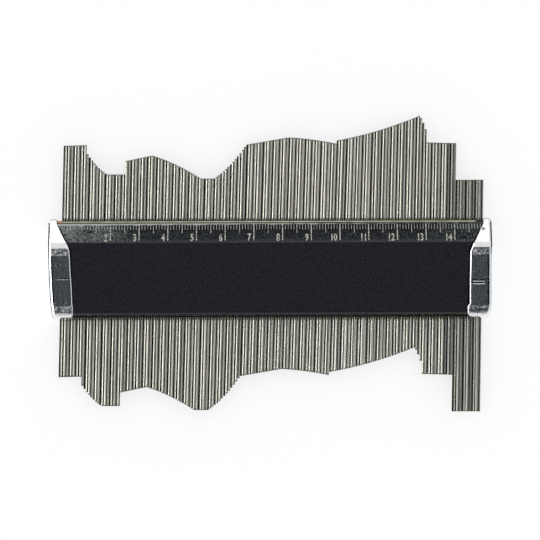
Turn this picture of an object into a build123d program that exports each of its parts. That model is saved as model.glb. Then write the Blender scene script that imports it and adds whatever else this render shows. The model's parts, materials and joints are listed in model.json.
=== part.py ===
from build123d import *

import os
from math import cos, radians, sin, tan

# A contour gauge: a single row of steel needles slides between two guide strips inside a flat
# body of two sheet-metal shells, held at the ends by drawn caps. It lies on its back, so X runs
# along the body, Y along the needles and Z out of the front. The origin is the middle of the
# body, on the surface that the caps' backs rest on. Lengths are millimetres, angles degrees.

# Needles
needle_count = 182
needles_per_group = 4
needle_diameter = 0.775
needle_gap = 0.024
needle_length = 81.0
needle_sides = 12
left_lean = 1.45
steepest_lean = 2.05
steepest_group = 30
right_lean = 1.0
row_shift = 0.47
end_play = 0.2

# Guides, spacers and the brake between them and the shells
guide_clearance = 0.06
guide_thickness = 0.5
guide_edge = 0.8
spacer_width = 0.8
felt_thickness = 1.3
felt_width = 7.6
felt_clearance = 0.2
felt_margin = 3.0
bar_thickness = 0.8
bar_width = 7.0
spring_thickness = 0.3
spring_width = 6.0
spring_waves = 5
spring_clearance = 0.02
spring_bend_radius = 12.0
support_width = 8.0

# Shells
body_width = 32.3
shell_thickness = 0.9
bevel_width = 6.6
bevel_angle = 26.0
crease_radius = 1.0
bend_radius = 1.7

# Caps
cap_wall = 0.5
cap_fit = 0.05
cap_round = 2.0
cap_inner_chamfer = 1.0
cap_depth = 8.75
cap_leg_slant = 0.9
cap_leg_drop = 1.9
cap_corner_drop = 0.2
cap_ear_length = 4.6
cap_ear_reach = 0.3
cap_slot_play = 0.3

# The contour that the needles were last pressed on, as stretches of the row from left to right:
# where a stretch ends, the height of its first and last tip above the body's middle, and how
# far its middle bows out from the straight line between them. The last is open-ended.
contour = [
    (-65.5, 43.3, 43.5, 0.0),
    (-57.7, 41.5, 33.2, -1.0),
    (-51.5, 33.2, 33.2, 0.0),
    (-42.2, 37.9, 39.8, 0.0),
    (-25.2, 39.8, 31.7, 0.7),
    (-20.5, 31.7, 31.7, 0.0),
    (-9.6, 31.7, 43.4, -1.2),
    (5.0, 43.5, 46.0, 0.0),
    (21.5, 46.0, 43.8, 0.3),
    (51.4, 44.8, 53.6, -0.9),
    (53.8, 53.0, 47.2, 0.4),
    (64.3, 44.1, 43.8, 0.0),
    (200.0, 31.0, 31.0, 0.0),
]

# Across the body
edge_y = body_width / 2
crease_y = edge_y - bevel_width
guide_top = edge_y + guide_edge

# Along the row. All needles of a group lean alike, and the groups fan out a little, so between
# two groups there is room for the difference at the end of the longest stroke.
group_starts = range(0, needle_count, needles_per_group)
group_count = len(group_starts)
needle_pitch = needle_diameter + needle_gap
longest_reach = needle_length - guide_top


def group_lean(number):
    """Lean of a group of needles, in radians. It grows up to the steepest group, then falls."""
    if number <= steepest_group:
        along = (number - 1) / (steepest_group - 1)
        return radians(left_lean + along * (steepest_lean - left_lean))
    along = (number - steepest_group) / (group_count - steepest_group)
    return radians(steepest_lean + along * (right_lean - steepest_lean))


leans = [group_lean(number) for number in range(1, group_count + 1)]
fan_gaps = [abs(tan(after) - tan(lean)) * longest_reach for lean, after in zip(leans, leans[1:])]
row_width = needle_count * needle_pitch + sum(fan_gaps)
row_start = row_shift - row_width / 2
left_overhang = edge_y * tan(leans[0]) - row_shift
right_overhang = edge_y * tan(leans[-1]) + row_shift
slot_half = row_width / 2 + max(left_overhang, right_overhang) + end_play
body_half = slot_half + spacer_width
cap_end = body_half + cap_round

# Through the thickness, above the plane of the needles
guide_inner = needle_diameter / 2 + guide_clearance
guide_outer = guide_inner + guide_thickness
lip_height = guide_outer + shell_thickness * cos(radians(bevel_angle))
face_height = lip_height + bevel_width * tan(radians(bevel_angle))
ceiling_height = face_height - shell_thickness
felt_outer = guide_inner + felt_thickness
bar_outer = felt_outer + bar_thickness
needle_height = face_height + cap_fit + cap_wall
cap_lip_height = face_height - (guide_top - crease_y) * tan(radians(bevel_angle))

needle_plane = Plane.XY.offset(needle_height)
section_plane = Plane(origin=(0, 0, needle_height), x_dir=(0, 1, 0), z_dir=(1, 0, 0))
along_section_plane = Plane(origin=(0, 0, needle_height), x_dir=(1, 0, 0), z_dir=(0, -1, 0))

os.makedirs("parts", exist_ok=True)


def save(builder, name):
    """Label a finished piece and write its file."""
    builder.part.label = name
    export_step(builder.part, f"parts/{name}.step")


def strip(bottom, top, half_length, width):
    """Build a flat strip along the body, between two heights above the needle plane."""
    with BuildPart() as piece:
        with BuildSketch(needle_plane.offset(bottom)):
            Rectangle(2 * half_length, width)
        extrude(amount=top - bottom)
    return piece


# Shells. One pressing: a bevelled upper edge that ends on the guide, a flat face, and a round
# bend down to a wall that stands on the guide. The back shell is the same pressing turned over.
with BuildPart() as front_shell:
    with BuildSketch(section_plane):
        with BuildLine():
            outside = FilletPolyline(
                (edge_y, lip_height),
                (crease_y, face_height),
                (-edge_y, face_height),
                (-edge_y, guide_outer),
                radius=[crease_radius, bend_radius],
            )
            offset(outside, amount=shell_thickness, side=Side.LEFT)
        make_face()
    extrude(amount=body_half, both=True)
save(front_shell, "front_shell")

with BuildPart() as back_shell:
    mirror(front_shell.part, about=needle_plane)
save(back_shell, "back_shell")

# Guides. The needles run between two brass strips, whose long edges stand out past the shells.
# The front one has a long window for the felt.
window_half = slot_half - felt_margin
felt_half = window_half - felt_clearance
window_width = felt_width + 2 * felt_clearance

back_guide = strip(-guide_outer, -guide_inner, body_half, 2 * guide_top)
save(back_guide, "back_guide")

with BuildPart() as front_guide:
    mirror(back_guide.part, about=needle_plane)
    with BuildSketch(needle_plane.offset(guide_inner)):
        Rectangle(2 * window_half, window_width)
    extrude(amount=guide_thickness, mode=Mode.SUBTRACT)
save(front_guide, "front_guide")

# Spacers. A square strip at each end of the row keeps the guides apart.
for side_name, side in (("left", -1), ("right", 1)):
    with BuildPart() as spacer:
        with BuildSketch(needle_plane):
            with Locations((side * (slot_half + spacer_width / 2), 0)):
                Rectangle(spacer_width, 2 * guide_top)
        extrude(amount=guide_inner, both=True)
    save(spacer, f"{side_name}_spacer")

# Brake. The spring under the front shell presses the bar on the felt, and the felt on the
# needles. Behind them the back guide is held straight by a support strip.
save(strip(guide_inner, felt_outer, felt_half, felt_width), "brake_felt")
save(strip(felt_outer, bar_outer, felt_half, bar_width), "pressure_bar")
save(strip(-ceiling_height, -guide_outer, felt_half, support_width), "back_support")

spring_low = bar_outer + spring_clearance + spring_thickness / 2
spring_high = ceiling_height - spring_clearance - spring_thickness / 2
half_wave = felt_half / (spring_waves + 1)
spring_turns = [
    ((turn - spring_waves - 1) * half_wave, spring_high if turn % 2 else spring_low)
    for turn in range(2 * spring_waves + 3)
]
with BuildPart() as leaf_spring:
    with BuildSketch(along_section_plane):
        with BuildLine():
            wave = FilletPolyline(*spring_turns, radius=spring_bend_radius)
            offset(wave, amount=spring_thickness / 2, side=Side.BOTH)
        make_face()
    extrude(amount=spring_width / 2, both=True)
save(leaf_spring, "leaf_spring")

# Caps. Each is a drawn cup that fits over the shells' ends. Its mouth is cut to a slanting
# edge, cut back at a diagonal over both bevels to leave the scale clear, with a rounded ear
# near the lower edge, and slotted above and below for the needles.
def body_end(growth, mouth, end):
    """Build the body's outline, grown all round, as a block from a cap's mouth to its end."""
    with BuildPart() as block:
        with BuildSketch(section_plane.offset(mouth)):
            with BuildLine():
                front = FilletPolyline(
                    (guide_top, 0),
                    (guide_top, cap_lip_height),
                    (crease_y, face_height),
                    (-guide_top, face_height),
                    (-guide_top, 0),
                    radius=[crease_radius, crease_radius, bend_radius + guide_edge],
                )
                mirror(front, about=Plane.XZ)
            make_face()
            offset(amount=growth)
        extrude(amount=end - mouth)
    return block.part


cap_mouth = cap_end - cap_depth
slot_end = slot_half - end_play / 2
leg_foot_x = cap_mouth + cap_ear_reach
leg_top_x = leg_foot_x + cap_leg_slant
leg_foot_y = cap_ear_length - guide_top
past_edge_y = 2 * edge_y

with BuildPart() as cap_inside:
    add(body_end(cap_fit, cap_mouth, cap_end - cap_wall))
    chamfer(cap_inside.faces().sort_by(Axis.X)[-1].edges(), length=cap_inner_chamfer)

with BuildPart() as right_cap:
    add(body_end(cap_fit + cap_wall, cap_mouth, cap_end))
    fillet(right_cap.faces().sort_by(Axis.X)[-1].edges(), radius=cap_round)
    add(cap_inside.part, mode=Mode.SUBTRACT)
    with BuildSketch():
        with BuildLine():
            Polyline(
                (slot_end, past_edge_y),
                (slot_end, edge_y - cap_corner_drop),
                (leg_top_x, crease_y - cap_leg_drop),
                (leg_foot_x, leg_foot_y),
                (leg_foot_x, -past_edge_y),
                (cap_mouth - cap_ear_reach, -past_edge_y),
                (cap_mouth - cap_ear_reach, past_edge_y),
                close=True,
            )
        make_face()
        with Locations((leg_foot_x, leg_foot_y - cap_ear_length / 2)):
            SlotOverall(cap_ear_length, 2 * cap_ear_reach, rotation=90, mode=Mode.SUBTRACT)
    extrude(amount=2 * needle_height, mode=Mode.SUBTRACT)
    with BuildSketch(needle_plane):
        with Locations((slot_end, 0)):
            Rectangle(cap_depth, 2 * past_edge_y, align=(Align.MAX, Align.CENTER))
    extrude(amount=guide_inner + cap_slot_play, both=True, mode=Mode.SUBTRACT)
save(right_cap, "right_cap")

with BuildPart() as left_cap:
    mirror(right_cap.part, about=Plane.YZ)
save(left_cap, "left_cap")

# Needles. Those of one group lean by the same small angle and slide together along it, apart
# from the other groups. A needle's round wire is a bar of many sides here.
def tip_height(x):
    """Height of the contour above the body's middle, at a place along the row."""
    start = row_start
    for end, first, last, bow in contour:
        if x <= end:
            along = (x - start) / (end - start)
            return first + (last - first) * along + 4 * bow * along * (1 - along)
        start = end


for group_number, first_needle in enumerate(group_starts, start=1):
    end_needle = min(first_needle + needles_per_group, needle_count)
    lean = leans[group_number - 1]
    group_shift = sum(fan_gaps[: group_number - 1])
    with BuildPart() as group:
        for needle in range(first_needle, end_needle):
            x = row_start + group_shift + (needle + 0.5) * needle_pitch
            foot = tip_height(x) / cos(lean) - needle_length
            foot_plane = Plane(
                origin=(x + foot * sin(lean), foot * cos(lean), needle_height),
                x_dir=(0, 0, 1),
                z_dir=(sin(lean), cos(lean), 0),
            )
            with BuildSketch(foot_plane):
                RegularPolygon(needle_diameter / 2, needle_sides, rotation=180 / needle_sides)
            extrude(amount=needle_length)
    save(group, f"needles_{group_number:02d}")
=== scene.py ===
import json

import bpy
import numpy as np
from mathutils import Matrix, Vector


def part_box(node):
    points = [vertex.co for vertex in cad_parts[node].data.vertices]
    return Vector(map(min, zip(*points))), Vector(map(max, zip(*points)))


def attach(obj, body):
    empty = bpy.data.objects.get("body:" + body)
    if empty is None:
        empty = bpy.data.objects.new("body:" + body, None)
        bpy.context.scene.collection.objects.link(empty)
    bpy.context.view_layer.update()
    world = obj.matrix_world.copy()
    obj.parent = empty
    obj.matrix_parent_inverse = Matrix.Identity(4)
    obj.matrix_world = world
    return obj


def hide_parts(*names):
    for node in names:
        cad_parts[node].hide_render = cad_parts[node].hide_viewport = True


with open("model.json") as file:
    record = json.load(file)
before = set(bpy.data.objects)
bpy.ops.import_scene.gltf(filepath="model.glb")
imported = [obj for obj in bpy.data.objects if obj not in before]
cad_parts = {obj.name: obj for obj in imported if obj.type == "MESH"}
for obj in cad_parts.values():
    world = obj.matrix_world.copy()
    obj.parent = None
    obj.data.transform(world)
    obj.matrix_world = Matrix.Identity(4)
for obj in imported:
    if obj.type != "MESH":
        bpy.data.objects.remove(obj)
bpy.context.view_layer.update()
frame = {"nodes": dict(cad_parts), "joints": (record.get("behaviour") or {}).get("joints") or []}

# Guides. Two rolled brass strips with the needles between them, held apart at the ends of the
# row by two steel spacers. Their long edges stand out past the shells, and the upper ones, rolled
# over a little, show as a golden line. The brass has dulled with handling, and painted shade
# darkens the strip everywhere but along that line.
MM = 0.001
guide_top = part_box("front_guide")[1].y
guide_edge_radius = 0.22 * MM
guide_roll = 0.75 * MM
guide_roll_drop = 0.3 * MM
copper_end = (-72.4 * MM, -72.8 * MM)
brown_end = (71.2 * MM, 72.2 * MM)
# Spans of painted shade on the brass: over its outer rim, and from just inside the bright line
# inwards.
outer_edge_shade = (guide_top - 0.38 * MM, guide_top - 0.14 * MM)
inner_side_shade = (guide_top - 0.52 * MM, guide_top - 0.66 * MM)
noise_span = (0.33, 0.67)
seam_gap = 0.001 * MM


def feed(tree, socket, value):
    """Link a socket to another node's output, or set it to a plain value."""
    if isinstance(value, bpy.types.NodeSocket):
        tree.links.new(value, socket)
    else:
        socket.default_value = value


def add_node(tree, kind, inputs=None, **settings):
    """Add a shader node with its settings and its inputs."""
    node = tree.nodes.new(kind)
    for name, value in settings.items():
        setattr(node, name, value)
    for name, value in (inputs or {}).items():
        feed(tree, node.inputs[name], value)
    return node


def math_node(tree, operation, *values, clamp=False):
    """One sum, product or comparison of the values."""
    inputs = dict(enumerate(values))
    return add_node(tree, "ShaderNodeMath", inputs, operation=operation, use_clamp=clamp).outputs[0]


def ramp(tree, value, start, end, low=0.0, high=1.0):
    """A value that goes evenly from low to high while another one goes from start to end."""
    limits = {"Value": value, "From Min": start, "From Max": end, "To Min": low, "To Max": high}
    return add_node(tree, "ShaderNodeMapRange", limits).outputs[0]


def noise(tree, where, scale, detail, roughness=0.5):
    """Soft noise around a half."""
    inputs = {"Vector": where, "Scale": scale, "Detail": detail, "Roughness": roughness}
    return add_node(tree, "ShaderNodeTexNoise", inputs).outputs[0]


def coordinates(tree, where):
    """The three coordinates of a place, by name."""
    return add_node(tree, "ShaderNodeSeparateXYZ", {"Vector": where}).outputs


def effect_group(name, inputs, output):
    """Start a node group with one output. Returns its tree, its inputs and its output.

    Each input has a name and a first value, which is a number, a vector, or None for a place.
    """
    tree = bpy.data.node_groups.new(name, "ShaderNodeTree")
    for socket, value in inputs.items():
        kind = "NodeSocketFloat" if isinstance(value, float) else "NodeSocketVector"
        made = tree.interface.new_socket(socket, in_out="INPUT", socket_type=kind)
        if value is not None:
            made.default_value = value
    tree.interface.new_socket(output, in_out="OUTPUT", socket_type="NodeSocketFloat")
    given = tree.nodes.new("NodeGroupInput").outputs
    return tree, given, tree.nodes.new("NodeGroupOutput").inputs[output]


def place_group(tree, group, **inputs):
    """Place a shared effect in a material, with this material's own values."""
    node = add_node(tree, "ShaderNodeGroup", node_tree=group)
    for name, value in inputs.items():
        feed(tree, node.inputs[name.capitalize()], value)
    return node.outputs[0]


# Mottle: a soft cloud that runs from one value to another, for tarnish and uneven polish.
mottle, given, result = effect_group(
    "mottle",
    {"Vector": None, "Scale": 400.0, "Detail": 3.0, "Low": 0.0, "High": 1.0},
    "Value",
)
cloud = noise(mottle, given["Vector"], given["Scale"], given["Detail"])
mottle.links.new(ramp(mottle, cloud, *noise_span, given["Low"], given["High"]), result)


def mottled(tree, where, scale, low, high, detail=3.0):
    """A mottle that runs from low to high."""
    return place_group(
        tree, mottle, vector=where, scale=scale, detail=detail, low=low, high=high
    )


# Hairlines: long thin streaks along one direction, in patches, for rolled, drawn and rubbed metal.
hairlines, given, result = effect_group(
    "hairlines",
    {
        "Vector": None,
        "Stretch": (60.0, 4000.0, 4000.0),
        "Turn": 0.0,
        "Share": 0.3,
        "Patches": 150.0,
    },
    "Mask",
)
turn = add_node(hairlines, "ShaderNodeCombineXYZ", {"Z": given["Turn"]}).outputs[0]
turned = add_node(hairlines, "ShaderNodeMapping", {"Vector": given["Vector"], "Rotation": turn})
streaked = add_node(
    hairlines, "ShaderNodeMapping", {"Vector": turned.outputs[0], "Scale": given["Stretch"]}
)
streaks = noise(hairlines, streaked.outputs[0], 1.0, 2.0)
patches = noise(hairlines, given["Vector"], given["Patches"], 2.0)
level = math_node(hairlines, "MULTIPLY_ADD", given["Share"], -0.4, 0.72)
above = math_node(hairlines, "SUBTRACT", streaks, level)
line = math_node(hairlines, "MULTIPLY", above, 12.0, clamp=True)
patch = ramp(hairlines, patches, 0.4, 0.6)
hairlines.links.new(math_node(hairlines, "MULTIPLY", line, patch), result)


def clear_tree(owner):
    """Give a material or a world an empty node tree."""
    owner.use_nodes = True
    owner.node_tree.nodes.clear()
    return owner.node_tree


def finish_material(
    name, base, roughness, height, bump, metallic=None, coat=None, **constants
):
    """Make a material around one Principled shader.

    base, roughness, height, metallic and coat are functions that take the tree and the object
    coordinates and give an output to link. height is the bump's, in units of bump metres.
    """
    material = bpy.data.materials.new(name)
    tree = clear_tree(material)
    where = add_node(tree, "ShaderNodeTexCoord").outputs["Object"]
    looks = {"Base Color": base, "Roughness": roughness, "Metallic": metallic, "Coat Weight": coat}
    linked = {socket: look(tree, where) for socket, look in looks.items() if look is not None}
    bumped = add_node(tree, "ShaderNodeBump", {"Height": height(tree, where), "Distance": bump})
    shader = add_node(
        tree, "ShaderNodeBsdfPrincipled", {**linked, **constants, "Normal": bumped.outputs[0]}
    )
    add_node(tree, "ShaderNodeOutputMaterial", {"Surface": shader.outputs[0]})
    return material


def blend_colours(tree, share, first, second):
    """Mix two colours by a mask."""
    node = add_node(tree, "ShaderNodeMix", {0: share, 6: first, 7: second}, data_type="RGBA")
    return node.outputs[2]


def layered(tree, colour, *layers):
    """Lay colours over a first one. Each layer is a mask and the colour that it lets through."""
    for mask, cover in layers:
        colour = blend_colours(tree, mask, colour, cover)
    return colour


def cloudy(scale, low, high, detail=3.0):
    """Make a look that is one mottle: a function of the tree and the object coordinates."""
    return lambda tree, where: mottled(tree, where, scale, low, high, detail)


def two_toned(scale, low, high, first, second):
    """Make a look that goes from one colour to another by a mottle."""
    share = cloudy(scale, low, high)
    return lambda tree, where: blend_colours(tree, share(tree, where), first, second)


def stretched(tree, where, scale):
    """The same coordinates, scaled unevenly, so that a pattern runs along one direction."""
    return add_node(tree, "ShaderNodeMapping", {"Vector": where, "Scale": scale}).outputs[0]


def brass_colour(tree, where):
    """Yellow brass, brown at its right end, darkened by painted shade but for a line by its upper
    edge.
    """
    long_way = stretched(tree, where, (0.25, 1.0, 1.0))
    dull = mottled(tree, long_way, scale=900.0, low=0.0, high=0.85)
    metal = blend_colours(tree, dull, (0.62, 0.66, 0.46, 1.0), (0.34, 0.34, 0.21, 1.0))
    place = coordinates(tree, where)
    copper = ramp(tree, place["X"], *copper_end)
    brown = ramp(tree, place["X"], *brown_end)
    # Painted shade over the outer rim and over the inner part of the strip.
    outer_edge = ramp(tree, place["Y"], *outer_edge_shade, high=0.8)
    inner_side = ramp(tree, place["Y"], *inner_side_shade, high=0.84)
    painted_shade = math_node(tree, "MAXIMUM", outer_edge, inner_side)
    return layered(
        tree,
        metal,
        (copper, (0.80, 0.42, 0.16, 1.0)),
        (brown, (0.10, 0.055, 0.045, 1.0)),
        (painted_shade, (0.06, 0.06, 0.045, 1.0)),
    )


def rolled_lines(tree, where):
    """Rolling marks along the strip."""
    return place_group(tree, hairlines, vector=where, share=0.6)


def brass_surface(tree, where):
    """Rolling marks, and the upper edge that falls off as the square of the way across it."""
    place = coordinates(tree, where)
    across = ramp(tree, place["Y"], guide_top - guide_roll, guide_top)
    fall = math_node(tree, "MULTIPLY", across, across)
    marks = math_node(tree, "MULTIPLY", rolled_lines(tree, where), 0.015)
    return math_node(tree, "SUBTRACT", marks, fall)


brass = finish_material(
    "rolled_brass",
    brass_colour,
    cloudy(700.0, 0.26, 0.5),
    brass_surface,
    guide_roll_drop,
    Metallic=1.0,
)


def close_seams(piece):
    """Join the points of a piece that lie on each other."""
    piece.modifiers.new("closed", "WELD").merge_threshold = seam_gap


def round_edges(node_name, width, segments=3):
    """Round the edges of a piece of the frame, once its loose triangles are joined."""
    node = frame["nodes"][node_name]
    close_seams(node)
    bevel = node.modifiers.new("rounded", "BEVEL")
    bevel.width = width
    bevel.segments = segments
    bevel.limit_method = "ANGLE"
    bevel.angle_limit = np.radians(40.0)
    bevel.harden_normals = True


def dress(node_name, material):
    """Give a piece of the frame its finish."""
    node = frame["nodes"][node_name]
    node.data.materials.clear()
    node.data.materials.append(material)


for guide in ("front_guide", "back_guide"):
    round_edges(guide, guide_edge_radius, 4)
    dress(guide, brass)

# Spacers. Two square strips of plain rolled steel between the guides, one at each end of the row.
# Brown patches of rust and old oil lie on the grey steel.
spacer_edge_radius = 0.06 * MM
rolled_roughness = cloudy(800.0, 0.3, 0.5)
rolled_steel = finish_material(
    "rolled_steel",
    two_toned(700.0, 0.2, 1.0, (0.42, 0.40, 0.36, 1.0), (0.30, 0.16, 0.07, 1.0)),
    rolled_roughness,
    rolled_lines,
    0.005 * MM,
    Metallic=1.0,
)
for spacer in ("left_spacer", "right_spacer"):
    round_edges(spacer, spacer_edge_radius)
    dress(spacer, rolled_steel)

# Needles. 182 straight pieces of drawn steel wire in one row, cut to one length, with rounded
# ends that are dark from the cut. Drawing and handling have left bright and dark streaks along
# them, under a film of oil. Their flanks, between the wires, are darkened with painted shade,
# and painted shadow of the guides lies on them by the guides' edges. Four share a body, as in
# the frame.
out_of_row = np.array([0.0, 0.0, 1.0])
wire_radius = 0.385 * MM
wire_pitch = 0.799 * MM
half_wire_share = 0.47
wire_sides = 16
wire_angles = 2 * np.pi * (np.arange(wire_sides) + 0.5) / wire_sides
wire_end_radius = 0.13 * MM
wire_dark_end = 0.6 * MM
wire_end_rings = 3
wire_seed = 7
streak_period = 1.117 * MM
streak_gain = 4.0
streak_level = 0.1
streak_wander = 0.1
first_dull_wire = 166
dull_tone = 0.5
# How far a wire's side faces across the row where painted shade darkens its flanks.
dark_flank = (0.76, 0.90)
# Where the painted shadow of the guides lies on the wires, and how far it reaches.
guide_shadow_y = guide_top + 0.1 * MM
guide_shadow_reach = (1.0 * MM, 0.4 * MM)


def grid_faces(rows, columns, closed=False):
    """Quads between neighbouring rows and columns of points that are numbered row by row.

    A closed grid also joins its last column to its first.
    """
    row = np.arange(rows - 1)[:, None] * columns
    column = np.arange(columns if closed else columns - 1)[None, :]
    beside = (column + 1) % columns
    corners = (row + column, row + beside, row + columns + beside, row + columns + column)
    return np.stack(np.broadcast_arrays(*corners), axis=-1).reshape(-1, 4)


def add_object(name, data):
    """Make an object and put it in the scene."""
    made = bpy.data.objects.new(name, data)
    bpy.context.scene.collection.objects.link(made)
    return made


def add_piece(name, points, faces, material, sharp_angle=40.0):
    """Make an object from an array of points and a list of faces, smooth but for sharp edges."""
    mesh = bpy.data.meshes.new(name)
    mesh.from_pydata(points.reshape(-1, 3).tolist(), [], faces)
    mesh.validate()
    mesh.shade_smooth()
    mesh.set_sharp_from_angle(angle=np.radians(sharp_angle))
    mesh.materials.append(material)
    return add_object(name, mesh)


def mark_points(piece, name, values):
    """Store one value for each point of a piece, for its material to read."""
    attribute = piece.data.attributes.new(name, "FLOAT", "POINT")
    attribute.data.foreach_set("value", np.asarray(values, np.float32).ravel())


def marked(tree, name):
    """The value that a piece's points are marked with under a name."""
    return add_node(tree, "ShaderNodeAttribute", attribute_name=name).outputs["Fac"]


def mesh_points(mesh):
    """A mesh's points as an array."""
    points = np.empty(len(mesh.vertices) * 3)
    mesh.vertices.foreach_get("co", points)
    return points.reshape(-1, 3)


def wire_ends(node, along, sideways):
    """Find each wire's two ends in a frame node of wires that all point along one direction.

    A point's distance across the row, divided by the pitch and less half a wire, is rounded to
    the number of its wire. The least and greatest distance along are the wire's ends. Returns
    places across, feet, tips and the wires' height.
    """
    points = mesh_points(node.data)
    across = points @ sideways
    number = np.rint((across - across.min()) / wire_pitch - half_wire_share).astype(int)
    number = np.clip(number, 0, number.max())
    reach = points @ along
    count = number.max() + 1
    feet, low = np.full((2, count), np.inf)
    tips, high = np.full((2, count), -np.inf)
    np.minimum.at(feet, number, reach)
    np.maximum.at(tips, number, reach)
    np.minimum.at(low, number, across)
    np.maximum.at(high, number, across)
    height = (points[:, 2].min() + points[:, 2].max()) / 2
    return (low + high) / 2, feet, tips, height


def wire_points(across, feet, tips, height, along, sideways):
    """Points of round wires with rounded ends, as an array of wires by rings by sides.

    A ring lies at a distance from the wire's end and has a radius: no radius in the middle of the
    end, then the end's own edge, then the full radius, twice. Round the ring, a point is the
    wire's axis plus the radius times the cosine across the row and the sine out of the row.
    """
    from_end = np.array([0.0, 0.0, wire_end_radius, wire_dark_end])
    radius = np.array([0.0, wire_radius - wire_end_radius, wire_radius, wire_radius])
    rings = np.concatenate([radius, radius[::-1]])
    stations = np.concatenate(
        [feet[:, None] + from_end, tips[:, None] - from_end[::-1]], axis=1
    )
    middle = stations[..., None] * along + across[:, None, None] * sideways
    middle[..., 2] += height
    ring = np.cos(wire_angles)[:, None] * sideways + np.sin(wire_angles)[:, None] * out_of_row
    return middle[:, :, None, :] + rings[None, :, None, None] * ring


def wire_colour(tree, where):
    """Drawn steel, dark to bright by its tone, with painted shade on its flanks and by the guides.
    """
    along = stretched(tree, where, (1.0, 0.06, 1.0))
    stain = mottled(tree, along, scale=1500.0, low=-0.1, high=0.22)
    tone = marked(tree, "tone")
    metal = blend_colours(tree, tone, (0.003, 0.003, 0.002, 1.0), (1.0, 1.0, 0.86, 1.0))
    # Painted shade on the wires' flanks, between the wires.
    flank_shade = ramp(tree, marked(tree, "flank"), *dark_flank)
    # Painted shadow of the guides' edges on the wires.
    from_middle = math_node(tree, "ABSOLUTE", coordinates(tree, where)["Y"])
    past_guide = math_node(tree, "SUBTRACT", from_middle, guide_shadow_y)
    painted_shade = ramp(tree, math_node(tree, "ABSOLUTE", past_guide), *guide_shadow_reach, high=0.85)
    return layered(
        tree,
        metal,
        (stain, (0.015, 0.013, 0.008, 1.0)),
        (flank_shade, (0.006, 0.005, 0.004, 1.0)),
        (painted_shade, (0.02, 0.018, 0.012, 1.0)),
        (marked(tree, "cut_end"), (0.10, 0.09, 0.07, 1.0)),
    )


def wire_roughness(tree, where):
    """Wires wear bright in places."""
    along = stretched(tree, where, (1.0, 0.1, 1.0))
    return mottled(tree, along, scale=1200.0, low=0.45, high=0.60)


def drawing_lines(tree, where):
    """Die marks along the wire."""
    return place_group(
        tree, hairlines, vector=where, stretch=(9000.0, 60.0, 9000.0), share=0.6, patches=300.0
    )


drawn_wire = finish_material(
    "drawn_wire",
    wire_colour,
    wire_roughness,
    drawing_lines,
    0.0012 * MM,
    Metallic=0.65,
    **{"Specular Tint": (0.10, 0.10, 0.08, 1.0), "Specular IOR Level": 0.1},
)


def wire_tones(points, sideways, first):
    """The shade of each point of some wires, from 0 for dark to 1 for bright.

    It is a steep sine of the distance across the row, cut off at 0 and 1, so that light and dark
    streaks run along the wires, shifted a little at random for each wire. The last wires of the
    row are dull.
    """
    wander = random.normal(0.0, streak_wander, len(points))
    phase = 2 * np.pi * (points @ sideways) / streak_period + wander[:, None, None]
    tone = np.clip(streak_level + streak_gain * np.sin(phase), 0.0, 1.0)
    dull = np.where(first + np.arange(len(points)) >= first_dull_wire, dull_tone, 1.0)
    return tone * dull[:, None, None]


random = np.random.default_rng(wire_seed)
slides = {joint["child"]: np.array(joint["axis"], float) for joint in frame["joints"]}
wires_so_far = 0
for body, axis in sorted(slides.items()):
    group = body.removeprefix("needle_group_")
    along = axis / np.linalg.norm(axis)
    sideways = np.cross(along, out_of_row)
    across, feet, tips, height = wire_ends(frame["nodes"][f"needles_{group}"], along, sideways)
    points = wire_points(across, feet, tips, height, along, sideways)
    wires, rings, sides = points.shape[:3]
    one_wire = grid_faces(rings, sides, closed=True)
    faces = (one_wire[None] + (np.arange(wires) * rings * sides)[:, None, None]).reshape(-1, 4)
    wire_group = add_piece(f"wires_{group}", points, faces.tolist(), drawn_wire, 50.0)
    mark_points(wire_group, "tone", wire_tones(points, sideways, wires_so_far))
    wires_so_far += wires
    cut = np.zeros((wires, rings, sides))
    cut[:, :wire_end_rings] = 1.0
    cut[:, -wire_end_rings:] = 1.0
    mark_points(wire_group, "cut_end", cut)
    mark_points(wire_group, "flank", np.tile(np.abs(np.cos(wire_angles)), wires * rings))
    close_seams(wire_group)
    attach(wire_group, body)
    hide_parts(f"needles_{group}")

# Brake. Pressed wool felt lies on the needles through the front guide's window, under a flat
# steel bar and a wavy leaf spring of steel blued by heat, from blue to straw. A strip of brown
# pressed fibre with paler flecks backs the back guide.
bar_edge_radius = 0.1 * MM
felt_edge_radius = 0.25 * MM
fine_grain = cloudy(4000.0, 0.0, 1.0)
felt = finish_material(
    "wool_felt",
    two_toned(5000.0, 0.0, 0.8, (0.47, 0.46, 0.43, 1.0), (0.25, 0.24, 0.22, 1.0)),
    cloudy(1500.0, 0.86, 0.98),
    fine_grain,
    0.12 * MM,
)
blued_steel = finish_material(
    "blued_steel",
    two_toned(60.0, 0.0, 0.6, (0.24, 0.29, 0.42, 1.0), (0.40, 0.33, 0.24, 1.0)),
    rolled_roughness,
    rolled_lines,
    0.005 * MM,
    Metallic=1.0,
)
fibre_board = finish_material(
    "pressed_fibre",
    two_toned(2500.0, 0.0, 0.7, (0.30, 0.18, 0.11, 1.0), (0.45, 0.32, 0.2, 1.0)),
    cloudy(900.0, 0.6, 0.85),
    fine_grain,
    0.03 * MM,
)
round_edges("brake_felt", felt_edge_radius)
dress("brake_felt", felt)
round_edges("pressure_bar", bar_edge_radius)
dress("pressure_bar", rolled_steel)
dress("leaf_spring", blued_steel)
round_edges("back_support", bar_edge_radius)
dress("back_support", fibre_board)

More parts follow.
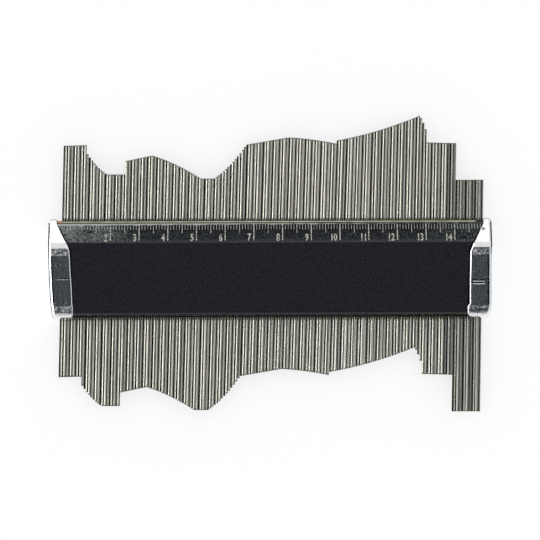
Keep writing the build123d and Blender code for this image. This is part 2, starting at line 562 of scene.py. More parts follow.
# Shells. Two pressings of sheet steel, stoved with gloss black enamel: a bevelled upper edge, a
# flat face and a round bend down to the lower wall. The enamel is scuffed grey along the bevel
# and rubbed through to the steel on the upper edge. The back shell is the same, turned over.
needle_height = height
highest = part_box("front_shell")[1]
body_half = highest.x
edge_y = highest.y
face_height = highest.z - needle_height
shell_thickness = 0.9 * MM
bevel_width = 6.9 * MM
bevel_angle = np.radians(25.0)
bevel_rise = np.tan(bevel_angle)
crease_y = edge_y - bevel_width
lip_height = face_height - bevel_width * bevel_rise
guide_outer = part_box("front_guide")[1].z - needle_height
crease_radius = 1.0 * MM
bend_radius = 1.7 * MM
sheet_edge_radius = 0.3 * MM
sheet_spacing = 1.0 * MM
shell_rows = 61
rubbed_reach = 0.7 * MM
worn_bevel = (crease_y - 0.1 * MM, crease_y + 1.4 * MM)
worn_left = (-0.6 * body_half, -0.95 * body_half)
worn_right = (0.7 * body_half, 0.95 * body_half)
below_lines = (edge_y - 2.3 * MM, edge_y - 3.3 * MM)
leg_mouth = (0.03, 69.48 * MM)
slant_mouth = (0.535, 66.05 * MM)
# Span of painted shade on the enamel beside the caps' mouths.
mouth_shade = (-0.65 * MM, -0.35 * MM)
arc_steps_per_radian = 8
least_turn = 0.001


def rounded_path(corners, radii, spacing, closed=False):
    """Points along straight runs joined by arcs, with their outward normals, as two arrays.

    The path goes anticlockwise round the material. At a corner, the arc's centre lies inside by
    the radius, and a point is that centre plus the radius times the normal, which turns evenly
    from one run's normal to the next. A run is shared out evenly and keeps its normal.
    """
    corners = np.array(corners, float)
    ahead = np.roll(corners, -1, axis=0) - corners
    ahead /= np.linalg.norm(ahead, axis=1)[:, None]
    if not closed:
        ahead[-1] = ahead[-2]
    behind = np.roll(ahead, 1, axis=0)
    if not closed:
        behind[0] = ahead[0]
    turn = np.arctan2(
        behind[:, 0] * ahead[:, 1] - behind[:, 1] * ahead[:, 0], (behind * ahead).sum(axis=1)
    )
    outward = np.stack([behind[:, 1], -behind[:, 0]], axis=1)
    radii = np.array(radii, float)
    centres = corners - (radii * np.tan(turn / 2))[:, None] * behind - radii[:, None] * outward
    arcs = []
    for corner, angle in enumerate(turn):
        steps = angle * (radii[corner] / spacing + arc_steps_per_radian)
        steps = 2 + int(steps) if angle > least_turn else 1
        swing = np.linspace(0.0, angle, steps)[:, None]
        normal = outward[corner] * np.cos(swing) + behind[corner] * np.sin(swing)
        arcs.append((centres[corner] + radii[corner] * normal, normal))
    points, normals = [], []
    for corner, (arc, normal) in enumerate(arcs):
        points.append(arc)
        normals.append(normal)
        if closed or corner < len(arcs) - 1:
            following = arcs[(corner + 1) % len(arcs)][0][0]
            steps = 1 + int(np.linalg.norm(following - arc[-1]) / spacing)
            share = np.linspace(0.0, 1.0, steps + 1)[1:-1, None]
            points.append(arc[-1] + share * (following - arc[-1]))
            normals.append(np.repeat(normal[-1:], len(share), axis=0))
    return np.concatenate(points), np.concatenate(normals)


def sheet_profile(corners, radii, thickness, edge_radius, spacing):
    """Closed outline of a bent sheet with rounded edges, anticlockwise.

    It is the outer path, the inner path at the sheet's thickness inside it, and at each end two
    quarter circles that round the cut edge.
    """
    corners = np.array(corners, float)
    first = corners[1] - corners[0]
    last = corners[-1] - corners[-2]
    first /= np.linalg.norm(first)
    last /= np.linalg.norm(last)
    corners[0] += first * edge_radius
    corners[-1] -= last * edge_radius
    outer, normals = rounded_path(corners, radii, spacing)
    inner = outer - thickness * normals
    swing = np.radians(np.linspace(0.0, 90.0, 6))[:, None]

    def edge(point, normal, beyond):
        """Two quarter circles from the outer face over the cut edge to the inner face."""
        over = np.cos(swing) * normal + np.sin(swing) * beyond
        under = np.cos(swing[::-1]) * -normal + np.sin(swing[::-1]) * beyond
        return np.concatenate(
            [
                point - edge_radius * normal + edge_radius * over,
                point - (thickness - edge_radius) * normal + edge_radius * under,
            ]
        )

    end = edge(outer[-1], normals[-1], last)[1:-1]
    start = edge(outer[0], normals[0], -first)[1:-1]
    return np.concatenate([outer, end, inner[::-1], start[::-1]])


def pressed_shell(name, facing):
    """Carry the sheet's outline along the body, and close both ends across the sheet.

    facing is 1 for the front shell and -1 for the back one, which is mirrored in height.
    """
    profile = sheet_profile(
        [
            (edge_y, lip_height),
            (crease_y, face_height),
            (-edge_y, face_height),
            (-edge_y, guide_outer),
        ],
        [0.0, crease_radius, bend_radius, 0.0],
        shell_thickness,
        sheet_edge_radius,
        sheet_spacing,
    )
    along = np.linspace(-body_half, body_half, shell_rows)
    columns = len(profile)
    points = np.empty((shell_rows, columns, 3))
    points[..., 0] = along[:, None]
    points[..., 1] = profile[:, 0]
    points[..., 2] = needle_height + facing * profile[:, 1]
    faces = grid_faces(shell_rows, columns, closed=True)
    if facing > 0:
        faces = faces[:, ::-1]
    first_end = list(range(columns))
    last_end = [(shell_rows - 1) * columns + column for column in first_end]
    ends = [first_end, last_end[::-1]] if facing > 0 else [first_end[::-1], last_end]
    shell = add_piece(name, points, faces.tolist() + ends, black_enamel)
    past = profile[:, 0] - (edge_y - rubbed_reach)
    mark_points(shell, "rubbed", np.tile(np.clip(past / rubbed_reach, 0.0, 1.0), shell_rows))
    return shell


# Rubbing: bare metal shows where a piece is marked as exposed, with a broken, patchy border.
rubbing, given, result = effect_group(
    "rubbing", {"Exposed": 0.0, "Vector": None, "Scale": 300.0, "Amount": 0.5}, "Mask"
)
ragged = noise(rubbing, given["Vector"], given["Scale"], 5.0, 0.65)
border = math_node(rubbing, "ADD", given["Exposed"], ragged)
rest = math_node(rubbing, "SUBTRACT", 1.5, given["Amount"])
past = math_node(rubbing, "SUBTRACT", border, rest)
rubbing.links.new(math_node(rubbing, "MULTIPLY", past, 5.0, clamp=True), result)

# Specks: small round dots of dust, scattered at random.
specks, given, result = effect_group(
    "specks", {"Vector": None, "Scale": 500.0, "Size": 0.1}, "Mask"
)
cells = add_node(
    specks, "ShaderNodeTexVoronoi", {"Vector": given["Vector"], "Scale": given["Scale"]}
)
chance = add_node(specks, "ShaderNodeSeparateColor", {"Color": cells.outputs["Color"]})
reach = math_node(specks, "MULTIPLY", chance.outputs[0], given["Size"])
inside = math_node(specks, "SUBTRACT", reach, cells.outputs["Distance"])
specks.links.new(math_node(specks, "MULTIPLY", inside, 30.0, clamp=True), result)


def on_bevel_share(tree, where):
    """Nothing on the flat face, and all of it on the bevel."""
    return ramp(tree, coordinates(tree, where)["Y"], *worn_bevel)


def near_ends(tree, where, left, middle, right):
    """A value that is the middle one along most of the body and changes towards each end."""
    place = coordinates(tree, where)
    at_left = ramp(tree, place["X"], *worn_left, middle, left)
    at_right = ramp(tree, place["X"], *worn_right, high=right - middle)
    return math_node(tree, "ADD", at_left, at_right)


def scratches(tree, where):
    """Fine crossed scratches on the bevel, most at its left end."""
    one_way = place_group(
        tree, hairlines, vector=where, stretch=(500.0, 5000.0, 5000.0), turn=0.7, share=0.5
    )
    other_way = place_group(
        tree, hairlines, vector=where, stretch=(500.0, 4000.0, 4000.0), turn=-0.9, share=0.5
    )
    both = math_node(tree, "ADD", one_way, other_way, clamp=True)
    amount = near_ends(tree, where, 1.0, 0.02, 0.22)
    on_bevel_only = math_node(tree, "MULTIPLY", amount, on_bevel_share(tree, where))
    return math_node(tree, "MULTIPLY", both, on_bevel_only)


def flecks(tree, where):
    """Small grey spots of dirt on the bevel, below the short lines and most at its left end."""
    spots = mottled(tree, where, scale=1900.0, low=-1.6, high=2.0, detail=2.0)
    least = ramp(tree, coordinates(tree, where)["Y"], *below_lines, high=0.14)
    amount = math_node(tree, "ADD", near_ends(tree, where, 1.2, 0.0, 0.22), least)
    on_bevel_only = math_node(tree, "MULTIPLY", amount, on_bevel_share(tree, where))
    return math_node(tree, "MULTIPLY", math_node(tree, "MAXIMUM", spots, 0.0), on_bevel_only)


def by_cap_mouth(tree, where):
    """Painted shade along the mouths of the two caps, which follow one line on the face and the
    bevel's.
    """
    place = coordinates(tree, where)
    on_leg = math_node(tree, "MULTIPLY_ADD", place["Y"], *leg_mouth)
    on_slant = math_node(tree, "MULTIPLY_ADD", place["Y"], *slant_mouth)
    mouth = math_node(tree, "MAXIMUM", on_leg, on_slant)
    past = math_node(tree, "SUBTRACT", math_node(tree, "ABSOLUTE", place["X"]), mouth)
    return ramp(tree, past, *mouth_shade)


def rubbed_bare(tree, where):
    """Where the enamel is rubbed off the upper edge, more at the left end."""
    exposed = marked(tree, "rubbed")
    amount = ramp(tree, coordinates(tree, where)["X"], -body_half, body_half, 1.0, 0.35)
    worn = place_group(tree, rubbing, exposed=exposed, vector=where, amount=amount)
    on_edge = math_node(tree, "MULTIPLY", exposed, 5.0, clamp=True)
    return math_node(tree, "MULTIPLY", worn, on_edge)


def enamel_colour(tree, where):
    """Black, with painted shade on the bevel and by the caps' mouths.

    Grey in the scratches, flecks and dust, and steel where the edge is rubbed bare.
    """
    tint = mottled(tree, where, scale=2600.0, low=-0.3, high=1.3, detail=1.0)
    black = blend_colours(tree, tint, (0.0150, 0.0150, 0.0205, 1.0), (0.0315, 0.0310, 0.0400, 1.0))
    dust = place_group(tree, specks, vector=where, scale=420.0, size=0.09)
    return layered(
        tree,
        black,
        # A darker black on the bevel than on the face: painted shade.
        (on_bevel_share(tree, where), (0.0090, 0.0100, 0.0150, 1.0)),
        (dust, (0.11, 0.11, 0.10, 1.0)),
        (flecks(tree, where), (0.24, 0.275, 0.275, 1.0)),
        (scratches(tree, where), (0.36, 0.41, 0.39, 1.0)),
        # Painted shade beside the caps' walls.
        (by_cap_mouth(tree, where), (0.002, 0.002, 0.002, 1.0)),
        (rubbed_bare(tree, where), (0.36, 0.37, 0.36, 1.0)),
    )


def enamel_roughness(tree, where):
    """Gloss on the face, a little hazy in patches, and duller on the bevel."""
    haze = mottled(tree, where, scale=700.0, low=0.10, high=0.2)
    dull = math_node(tree, "MULTIPLY", on_bevel_share(tree, where), 0.2)
    return math_node(tree, "ADD", haze, dull)


def enamel_gloss(tree, where):
    """The enamel keeps a clear gloss but for the bevel."""
    return ramp(tree, on_bevel_share(tree, where), 0.0, 1.0, 0.7, 0.0)


def enamel_surface(tree, where):
    """A faint orange peel with scratches in it."""
    peel = mottled(tree, where, scale=1300.0, low=0.0, high=1.0)
    return math_node(tree, "SUBTRACT", peel, scratches(tree, where))


black_enamel = finish_material(
    "black_enamel",
    enamel_colour,
    enamel_roughness,
    enamel_surface,
    0.006 * MM,
    metallic=rubbed_bare,
    coat=enamel_gloss,
    IOR=1.18,
)

for shell_name, facing in (("front_shell", 1), ("back_shell", -1)):
    shell = pressed_shell(shell_name.replace("_shell", "_pressing"), facing)
    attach(shell, "gauge_body")
    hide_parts(shell_name)

# Scale. Millimetre lines and centimetre numbers, 0 under the left cap, engraved by machine on
# the front bevel and filled with pale paint, which has partly rubbed away.
scale_zero = -75.65 * MM
scale_last = 149
line_widths = {1: 0.17 * MM, 5: 0.22 * MM, 10: 0.36 * MM}
line_lift = 0.012 * MM
line_depth = 3 * line_lift
line_start = 0.55 * MM
line_ends = {1: 2.35 * MM, 5: 3.6 * MM, 10: 6.15 * MM}
number_height = 2.6 * MM
number_low = 6.4 * MM
number_gap = 0.95 * MM
number_narrowing = 0.72
number_thickness = 0.02
number_boldness = 0.03
worn_place = (-66.6 * MM, edge_y - 5.2 * MM, 0.0)
worn_reach = (4.2 * MM, 2.4 * MM)


def on_bevel(x, down):
    """Points on the front bevel: x along the body and a distance down in y from its top edge."""
    lift = line_lift / np.cos(bevel_angle)
    y = edge_y - down
    z = needle_height + lip_height + down * bevel_rise + lift
    return np.stack(np.broadcast_arrays(x, y, z), axis=-1)


def near_place(tree, where, place, far, near, low=0.0, high=1.0):
    """A value that rises from low, far from a place as seen from above, to high near it."""
    level = add_node(
        tree, "ShaderNodeVectorMath", {0: where, 1: (1.0, 1.0, 0.0)}, operation="MULTIPLY"
    )
    distance = add_node(
        tree, "ShaderNodeVectorMath", {0: level.outputs[0], 1: place}, operation="DISTANCE"
    )
    return ramp(tree, distance.outputs["Value"], far, near, low, high)


def paint_colour(tree, where):
    """Pale grey-green paint, dark where it is rubbed out, as most of the first number's is."""
    lost = mottled(tree, where, scale=1600.0, low=-0.5, high=1.1)
    most_lost = near_place(tree, where, worn_place, *worn_reach)
    lost = math_node(tree, "ADD", lost, math_node(tree, "MULTIPLY", most_lost, 1.3), clamp=True)
    paint = blend_colours(tree, lost, (0.80, 0.84, 0.72, 1.0), (0.18, 0.19, 0.16, 1.0))
    gone = math_node(tree, "MULTIPLY", most_lost, 0.75)
    return blend_colours(tree, gone, paint, (0.06, 0.065, 0.055, 1.0))


scale_paint = finish_material(
    "scale_paint", paint_colour, cloudy(900.0, 0.5, 0.8), fine_grain, 0.01 * MM
)

numbers_along = np.arange(2, scale_last + 1)
centres = scale_zero + numbers_along * MM
kinds = np.where(numbers_along % 10 == 0, 10, np.where(numbers_along % 5 == 0, 5, 1))
ends = np.array([line_ends[kind] for kind in kinds])
widths = np.array([line_widths[kind] for kind in kinds])
left = centres - widths / 2
right = centres + widths / 2
starts = np.full_like(ends, line_start)
round_line = ((left, ends), (right, ends), (right, starts), (left, starts))
line_corners = np.stack([on_bevel(*corner) for corner in round_line], axis=1)
foot_corners = line_corners - line_depth * out_of_row
line_points = np.concatenate([foot_corners, line_corners], axis=1)
box_faces = np.array(
    [(4, 5, 6, 7), (0, 1, 5, 4), (1, 2, 6, 5), (2, 3, 7, 6), (3, 0, 4, 7), (3, 2, 1, 0)]
)
line_faces = (box_faces[None] + 8 * np.arange(len(centres))[:, None, None]).reshape(-1, 4)
scale_lines = add_piece("scale_lines", line_points, line_faces.tolist(), scale_paint, 30.0)
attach(scale_lines, "gauge_body")


def bevel_number(value):
    """Set a centimetre number upright on the bevel, to the left of its line.

    The text is made a mesh, its flat points are scaled to the number's height, and each point is
    placed by its distance along the body and down the bevel, with its thickness as height.
    """
    curve = bpy.data.curves.new(f"number_{value}", "FONT")
    curve.body = str(value)
    curve.size = 1.0
    curve.extrude = number_thickness
    curve.offset = number_boldness
    curve.resolution_u = 3
    text = add_object(f"number_{value}", curve)
    bpy.context.view_layer.update()
    evaluated = text.evaluated_get(bpy.context.evaluated_depsgraph_get())
    mesh = bpy.data.meshes.new_from_object(evaluated)
    bpy.data.objects.remove(text)
    flat = mesh_points(mesh)
    size = number_height / np.ptp(flat[:, 1])
    right_edge = scale_zero + 10 * value * MM - number_gap
    x = right_edge + (flat[:, 0] - flat[:, 0].max()) * size * number_narrowing
    down = number_low - (flat[:, 1] - flat[:, 1].min()) * size
    placed = on_bevel(x, down)
    placed[:, 2] -= np.where(flat[:, 2] > 0, 0.0, line_depth)
    mesh.vertices.foreach_set("co", placed.ravel())
    mesh.update()
    mesh.materials.clear()
    mesh.materials.append(scale_paint)
    return add_object(f"number_{value}", mesh)


for value in range(1, 15):
    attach(bevel_number(value), "gauge_body")

# Caps. Each is a bright chromed cup drawn from sheet steel and crimped on the shells' ends, cut
# back at a slant over the bevel, with an ear at the lower edge and slots for the needles. The
# work has left wrinkles under the bevel, hollows by the ear and a crease or two across the leg.
cap_low, cap_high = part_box("right_cap")
cap_end = cap_high.x
cap_wall = 0.5 * MM
cap_growth = cap_high.z - needle_height - face_height
cap_round = 1.5 * MM
cap_inner_round = 1.0 * MM
cap_bend_radius = 3.0 * MM
cap_spacing = 0.15 * MM
cap_lip_height = face_height - (guide_top - crease_y) * bevel_rise
bevel_set = 0.45 * MM
least_upright = 0.3
upright_fade = 0.5
slot_half_height = 0.75 * MM
slot_edge = slot_half_height + 0.02 * MM
slot_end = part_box("right_spacer")[0].x - 0.1 * MM
corner_y = edge_y - 0.2 * MM
leg_foot_y = -12.35 * MM
leg_middle_x = 72.4 * MM
leg_half_width = 2.7 * MM
ear_low_y = -guide_top
ear_inset = 0.02 * MM
wrinkles_y = 6.0 * MM
wrinkle_depth = 0.028 * MM
wrinkle_bow = 0.9 * MM
wrinkle_spacing = 1.5 * MM
hollows_y = -13.6 * MM
hollow_depth = 0.025 * MM
hollow_width = 1.1 * MM
hollow_spacing = 0.9 * MM
chip_place = (74.35 * MM, 13.85 * MM, 0.0)
chip_reach = (0.75 * MM, 0.35 * MM)
ear_haze = (leg_foot_y, leg_foot_y - 0.6 * MM)
wrinkle_haze = (1.5 * MM, 1.1 * MM)
polished_edge = (0.70, 0.80)
rim_inner_radius = 0.03 * MM
rim_turns = np.radians([80.0, 62.0, 50.0, 46.0, 42.0, 39.0, 20.0, 16.0, 10.0, 4.0])
rim_runs = np.array([0.07, 0.06, 0.10, 0.10, 0.10, 0.10, 0.06, 0.10, 0.10, 0.10]) * MM
rim_across = np.cumsum(rim_runs * np.cos(rim_turns))
rim_depth = np.sum(rim_runs * np.sin(rim_turns)) - np.cumsum(rim_runs * np.sin(rim_turns))


def mouth_place(y, height_off, side_wall, mouth_line):
    """How far along the body the cap's mouth lies, for each column round the cap.

    It runs straight between the places of the mouth's line. The ear adds half a flattened circle
    below the leg's foot, and on a side wall the needle slot cuts back to its end.
    """
    places_y, places_x = np.array(mouth_line).T * MM
    line = np.interp(y, np.append(places_y, corner_y), np.append(places_x, slot_end))
    middle = (ear_low_y + leg_foot_y) / 2
    off = np.clip(np.abs(y - middle) / ((leg_foot_y - ear_low_y) / 2), 0.0, 1.0)
    foot = np.interp(leg_foot_y, places_y, places_x)
    line = line - (foot - cap_low.x - ear_inset) * np.sqrt(1.0 - off**4)
    return np.where(side_wall & (np.abs(height_off) <= slot_half_height), slot_end, line)


def set_down(y, upright, marks):
    """How much closer the cap lies on the shells' bevels than on their faces.

    It grows evenly over the end of the leg and fades out where the section turns to a side wall.
    """
    leg_end_y, leg_start_y = marks["bevel_start"]
    share = np.clip((y - leg_end_y) / (leg_start_y - leg_end_y), 0.0, 1.0)
    return bevel_set * share * np.clip((np.abs(upright) - least_upright) / upright_fade, 0.0, 1.0)


def bell(distance, width):
    """1 in the middle, falling off to nothing on both sides as a normal distribution does."""
    return np.exp(-((distance / width) ** 2))


def wave(distance, spacing, phase):
    """A sine that repeats at a spacing."""
    return np.sin(distance * 2 * np.pi / spacing + phase)


def leg_relief(x, y, marks):
    """Depth of the marks on a cap's leg and bevel, which all go into its outer surface.

    A crease is one or two bells across the leg. The wrinkles under the bevel are a wave that
    bows with the distance from the leg's middle, within a bell. The hollows by the ear are a
    product of two waves within a bell.
    """
    phase = marks["phase"]
    bow = ((x - leg_middle_x) / leg_half_width) ** 2
    within = np.clip(3.0 * (1.0 - bow), 0.0, 1.0)
    crease = marks["crease"] * sum(bell(y - at, marks["crease_width"]) for at in marks["crease_y"])
    below = y - wrinkles_y + wrinkle_bow * bow
    folds = 1.0 - wave(below, wrinkle_spacing, phase)
    wrinkles = wrinkle_depth * folds * bell(below, wrinkle_spacing)
    pits = 1.0 - wave(y, hollow_spacing, phase) * wave(x, hollow_width, 2 * phase)
    hollows = hollow_depth * pits * bell(y - hollows_y, hollow_width)
    return -within * (crease + wrinkles + hollows)


def drawn_cap(name, side, mouth_line, taper_line, marks):
    """A cup as one closed grid: columns go round the section, rows go from inside to outside.

    The rows start in the middle of the inner end, go out to the inner wall, along it to the
    mouth, over the rounded rim, back along the outer wall and round a quarter circle to the
    middle of the end. A row is a place along the body and a growth of the section's outline, and
    the end rows shrink the outline to its middle. The end tapers back by the height that each
    column has across the body. side is 1 at the right end and -1 at the left. Each point is
    marked with how far it faces straight up or down.
    """
    corners = [
        (guide_top, -cap_lip_height),
        (guide_top, -slot_edge),
        (guide_top, -slot_half_height),
        (guide_top, slot_half_height),
        (guide_top, slot_edge),
        (guide_top, cap_lip_height),
        (crease_y, face_height),
        (-guide_top, face_height),
        (-guide_top, slot_edge),
        (-guide_top, slot_half_height),
        (-guide_top, -slot_half_height),
        (-guide_top, -slot_edge),
        (-guide_top, -face_height),
        (crease_y, -face_height),
    ]
    radii = np.zeros(len(corners))
    radii[[0, 5, 6, 13]] = crease_radius
    radii[[7, 12]] = cap_bend_radius
    outline, normals = rounded_path(corners, radii, cap_spacing, closed=True)
    outer = outline + cap_growth * normals
    side_wall = np.abs(normals[:, 1]) < 0.01
    mouth = mouth_place(outer[:, 0], outline[:, 1], side_wall, mouth_line)
    taper_y, taper = np.array(taper_line).T * MM
    taper = np.interp(outer[:, 0], taper_y, taper)
    inner_end = cap_end - cap_wall - taper

    def row(x, growth, shrink=1.0):
        """One row of the grid, at a place along the body and a growth of the outline."""
        ring = (outline + np.broadcast_to(growth, mouth.shape)[:, None] * normals) * shrink
        return np.stack([np.broadcast_to(x, mouth.shape), ring[:, 0], ring[:, 1]], axis=-1)

    inner_growth = cap_growth - cap_wall
    outer_growth = cap_growth - set_down(outer[:, 0], normals[:, 1], marks)
    thickness = (outer_growth - inner_growth) / cap_wall
    rows = [
        row(inner_end + (1.0 - shrink) * taper, inner_growth - cap_inner_round, shrink)
        for shrink in (0.0, 0.5, 1.0)
    ]
    for swing in np.radians(np.linspace(15.0, 90.0, 6)):
        x = inner_end - cap_inner_round * (1.0 - np.cos(swing))
        rows.append(row(x, inner_growth - cap_inner_round * (1.0 - np.sin(swing))))
    wall_start = inner_end - cap_inner_round
    for share in (0.33, 0.66):
        rows.append(row(wall_start + share * (mouth + rim_inner_radius - wall_start), inner_growth))
    for swing in np.radians(np.linspace(0.0, 90.0, 4)):
        x = mouth + rim_inner_radius * (1.0 - np.sin(swing))
        rows.append(row(x, inner_growth + rim_inner_radius * (1.0 - np.cos(swing))))
    for across, depth in zip(rim_across, rim_depth):
        rows.append(row(mouth + across, outer_growth - depth * thickness))
    leg_start = mouth + rim_across[-1]
    leg_end = cap_end - cap_round - taper
    on_leg = np.abs(normals[:, 1]) > least_upright
    for share in np.linspace(0.0, 1.0, 25)[1:]:
        x = leg_start + share * (leg_end - leg_start)
        relief = leg_relief(x, outer[:, 0], marks)
        rows.append(row(x, outer_growth + np.where(on_leg, relief, 0.0)))
    end_swings = np.radians(np.linspace(0.0, 90.0, 14)[1:])
    end_shrinks = (0.75, 0.4, 0.0)
    facing = np.concatenate([np.ones(len(rows)), np.cos(end_swings), np.zeros(len(end_shrinks))])
    for swing in end_swings:
        x = leg_end + cap_round * np.sin(swing)
        rows.append(row(x, outer_growth - cap_round * (1.0 - np.cos(swing))))
    for shrink in end_shrinks:
        rows.append(row(cap_end - shrink * taper, outer_growth - cap_round, shrink))
    points = np.stack(rows)
    points[..., 0] *= side
    points[..., 2] += needle_height
    faces = grid_faces(len(rows), len(outline), closed=True)
    if side > 0:
        faces = faces[:, ::-1]
    cap = add_piece(name, points, faces.tolist(), bright_chrome, 50.0)
    mark_points(cap, "upright", facing[:, None] * np.abs(normals[:, 1]))
    close_seams(cap)
    return cap


def chrome_colour(tree, where):
    """Bright chrome, very slightly blue, with faint grey haze and one chip on the right bevel."""
    haze = mottled(tree, where, scale=350.0, low=0.0, high=0.6)
    bright = blend_colours(tree, haze, (0.94, 0.95, 0.965, 1.0), (0.82, 0.84, 0.85, 1.0))
    chip = near_place(tree, where, chip_place, *chip_reach)
    return blend_colours(tree, chip, bright, (0.16, 0.20, 0.26, 1.0))


def chrome_roughness(tree, where):
    """Mirror polish with fine scratches and specks, hazy by the ear and in the wrinkles.

    The edges that turn down to the end are polished brighter.
    """
    haze = mottled(tree, where, scale=900.0, low=0.03, high=0.11)
    scratch = place_group(
        tree, hairlines, vector=where, stretch=(3000.0, 200.0, 3000.0), turn=0.4, share=0.5
    )
    scratched = math_node(tree, "ADD", haze, math_node(tree, "MULTIPLY", scratch, 0.15))
    place = coordinates(tree, where)
    from_wrinkles = math_node(tree, "SUBTRACT", place["Y"], wrinkles_y)
    by_wrinkles = ramp(tree, math_node(tree, "ABSOLUTE", from_wrinkles), *wrinkle_haze)
    handled = math_node(tree, "MAXIMUM", ramp(tree, place["Y"], *ear_haze), by_wrinkles)
    worn = mottled(tree, where, scale=1500.0, low=0.1, high=0.42)
    dull = math_node(tree, "ADD", scratched, math_node(tree, "MULTIPLY", worn, handled))
    dust = place_group(tree, specks, vector=where, scale=1100.0, size=0.3)
    dusty = math_node(tree, "ADD", dull, math_node(tree, "MULTIPLY", dust, 0.3))
    kept = ramp(tree, marked(tree, "upright"), *polished_edge, low=0.1)
    return math_node(tree, "MULTIPLY", dusty, kept)


bright_chrome = finish_material(
    "bright_chrome",
    chrome_colour,
    chrome_roughness,
    cloudy(650.0, 0.0, 1.0, detail=4.0),
    0.03 * MM,
    Metallic=1.0,
)
cap_shapes = {
    "left_cap": (
        -1,
        [(-12.4, 68.85), (-6.5, 69.05), (-3.7, 69.25), (0.1, 69.5), (6.1, 69.75), (7.6, 70.15)],
        [(-17.5, 1.3), (-15.0, 1.1), (-10.8, 0.73), (-3.8, 0.31), (6.6, 0.07), (10.0, 0.0)],
        {
            "crease": 0.07 * MM,
            "crease_y": (-3.4 * MM,),
            "crease_width": 0.16 * MM,
            "phase": 0.4,
            "bevel_start": (7.2 * MM, 9.15 * MM),
        },
    ),
    "right_cap": (
        1,
        [(-12.4, 69.35), (-5.5, 69.4), (-0.4, 69.5), (6.0, 69.65), (7.9, 70.5)],
        [(-17.5, 1.3), (-15.0, 0.8), (-12.2, 0.3), (6.6, 0.25), (9.4, 0.0)],
        {
            "crease": 0.09 * MM,
            "crease_y": (-4.25 * MM, -5.1 * MM),
            "crease_width": 0.27 * MM,
            "phase": 1.9,
            "bevel_start": (7.4 * MM, 9.2 * MM),
        },
    ),
}
for cap_name, (side, mouth_line, taper_line, marks) in cap_shapes.items():
    cap = drawn_cap(cap_name.replace("_cap", "_cup"), side, mouth_line, taper_line, marks)
    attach(cap, "gauge_body")
    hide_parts(cap_name)

# Studio. The gauge lies on a pale table in a white room, under a dark ceiling that the chrome
# and enamel mirror. One softbox lights the needles' left flanks and one the caps' bevels, and
# four dark cards on the table, round the gauge, give the chrome its dark outlines.
scene = bpy.context.scene
scene.view_settings.view_transform = "Standard"
table_size = 3.0
table_glow = 0.71
room_light = 0.75
ceiling_height = 1.2
ceiling_corners = ((-1.85, -1.48), (2.0, 0.40))
ceiling_reach = 0.20
flag_height = 0.3 * MM
flag_near = cap_end + 0.2 * MM
flag_far = flag_near + 250.0 * MM
flag_long = 250.0 * MM
flag_low = -22.0 * MM
lower_flag_half = 68.0 * MM
past_guide = guide_top + 0.5 * MM


def seen_directly(tree):
    """1 for rays from the camera, in a reflection or through glass, and 0 for scattered light."""
    path = add_node(tree, "ShaderNodeLightPath").outputs
    seen = math_node(tree, "MAXIMUM", path["Is Camera Ray"], path["Is Glossy Ray"])
    return math_node(tree, "MAXIMUM", seen, path["Is Transmission Ray"])


bpy.ops.mesh.primitive_plane_add(size=table_size, location=(0.0, 0.0, 0.0))
table = bpy.context.object
table.name = "table"
table_paint = bpy.data.materials.new("pale_table")
tree = clear_tree(table_paint)
lit = add_node(tree, "ShaderNodeBsdfDiffuse", {"Color": (0.48, 0.48, 0.48, 1.0)})
brightness = math_node(tree, "MULTIPLY", seen_directly(tree), table_glow)
glow = add_node(tree, "ShaderNodeEmission", {"Strength": brightness})
both = add_node(tree, "ShaderNodeAddShader", {0: lit.outputs[0], 1: glow.outputs[0]})
add_node(tree, "ShaderNodeOutputMaterial", {"Surface": both.outputs[0]})
table.data.materials.append(table_paint)


def hang_card(name, low, high, height, facing, tint, shade):
    """A level card between two corners, which only the chrome and the enamel mirror.

    facing is 1 for a card that faces up and -1 for one that faces down. shade takes the tree and
    the object coordinates and gives the card's brightness.
    """
    paint = bpy.data.materials.new(name)
    tree = clear_tree(paint)
    where = add_node(tree, "ShaderNodeTexCoord").outputs["Object"]
    glow = add_node(tree, "ShaderNodeEmission", {"Color": tint, "Strength": shade(tree, where)})
    add_node(tree, "ShaderNodeOutputMaterial", {"Surface": glow.outputs[0]})
    points = np.array([low, (high[0], low[1]), high, (low[0], high[1])])
    points = np.column_stack([points, np.full(len(points), height)])
    card = add_piece(name, points, [[0, 1, 2, 3][::facing]], paint)
    card.visible_camera = False
    card.visible_diffuse = False
    card.visible_shadow = False


def ceiling_shade(tree, where):
    """Dim straight above the gauge and nearly black from there on."""
    middle = (0.0, 0.0, 0.0)
    return near_place(tree, where, middle, 1.4 * ceiling_reach, ceiling_reach, 0.012, 0.079)


def shade_between(start_y, end_y, start, end):
    """The shade of a card that changes evenly between two places along Y."""
    return lambda tree, where: ramp(tree, coordinates(tree, where)["Y"], start_y, end_y, start, end)


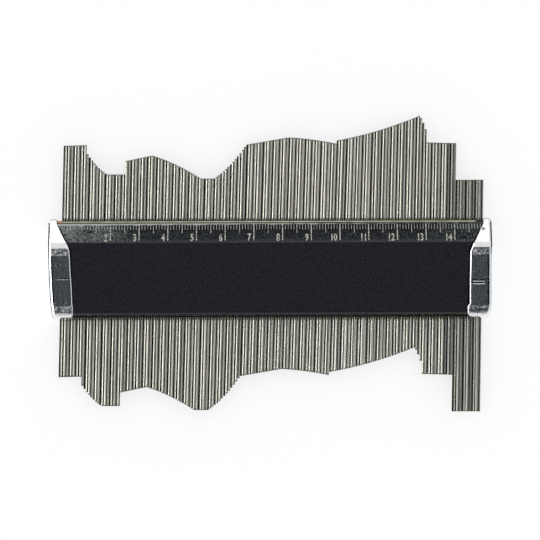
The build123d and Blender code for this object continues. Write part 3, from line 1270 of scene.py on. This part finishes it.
hang_card("ceiling", *ceiling_corners, ceiling_height, -1, (0.80, 0.88, 1.0, 1.0), ceiling_shade)
left_shade = shade_between(-12.0 * MM, 6.0 * MM, 0.35, 0.06)
right_shade = shade_between(4.0 * MM, 9.0 * MM, 0.7, 0.02)
dark_shade = shade_between(0.0, 100.0 * MM, 0.02, 0.02)
for flag_name, low, high, shade in (
    ("left_flag", (-flag_far, flag_low), (-flag_near, flag_long), left_shade),
    ("right_flag", (flag_near, flag_low), (flag_far, flag_long), right_shade),
    ("upper_flag", (-flag_near, past_guide), (flag_near, flag_long), dark_shade),
    ("lower_flag", (-lower_flag_half, -flag_long), (lower_flag_half, -past_guide), dark_shade),
):
    hang_card(flag_name, low, high, flag_height, 1, (0.75, 0.9, 1.0, 1.0), shade)

world = bpy.data.worlds.new("white_room")
scene.world = world
tree = clear_tree(world)
strength = ramp(tree, seen_directly(tree), 0.0, 1.0, low=room_light)
white = add_node(tree, "ShaderNodeBackground", {"Strength": strength})
add_node(tree, "ShaderNodeOutputWorld", {"Surface": white.outputs[0]})


def softbox(name, direction, distance, width, depth, radiance):
    """A rectangular lamp that faces the gauge, with its width level and its depth upright.

    Its power is pi times its area and its radiance. Only what is glossy shows its light.
    """
    lamp = bpy.data.lights.new(name, "AREA")
    lamp.shape = "RECTANGLE"
    lamp.size = width
    lamp.size_y = depth
    lamp.energy = np.pi * width * depth * radiance
    box = add_object(name, lamp)
    towards = np.array(direction, float)
    towards /= np.linalg.norm(towards)
    box.location = towards * distance
    box.rotation_euler = Vector(towards).to_track_quat("Z", "Y").to_euler()
    box.visible_camera = False
    box.visible_diffuse = False


softbox("left_softbox", (-0.91, 0.0, 0.415), 1.0, 1.6, 0.32, 7.1)
softbox("upper_softbox", (0.0, 0.77, 0.64), 1.5, 1.6, 0.8, 0.35)

# Camera. It looks straight down with the row of needles upright, from a metre away.
view_width = 188.15 * MM
camera_distance = 1.0
bevel_plane_height = 8.9 * MM
camera_offset = (-0.07 * MM, -0.35 * MM)
camera_roll = -0.003
camera_data = bpy.data.cameras.new("camera")
camera_data.sensor_width = 36.0
camera_data.lens = camera_data.sensor_width * camera_distance / view_width
camera = add_object("camera", camera_data)
camera.location = (*camera_offset, bevel_plane_height + camera_distance)
camera.rotation_euler = (0.0, 0.0, camera_roll)
scene.camera = camera
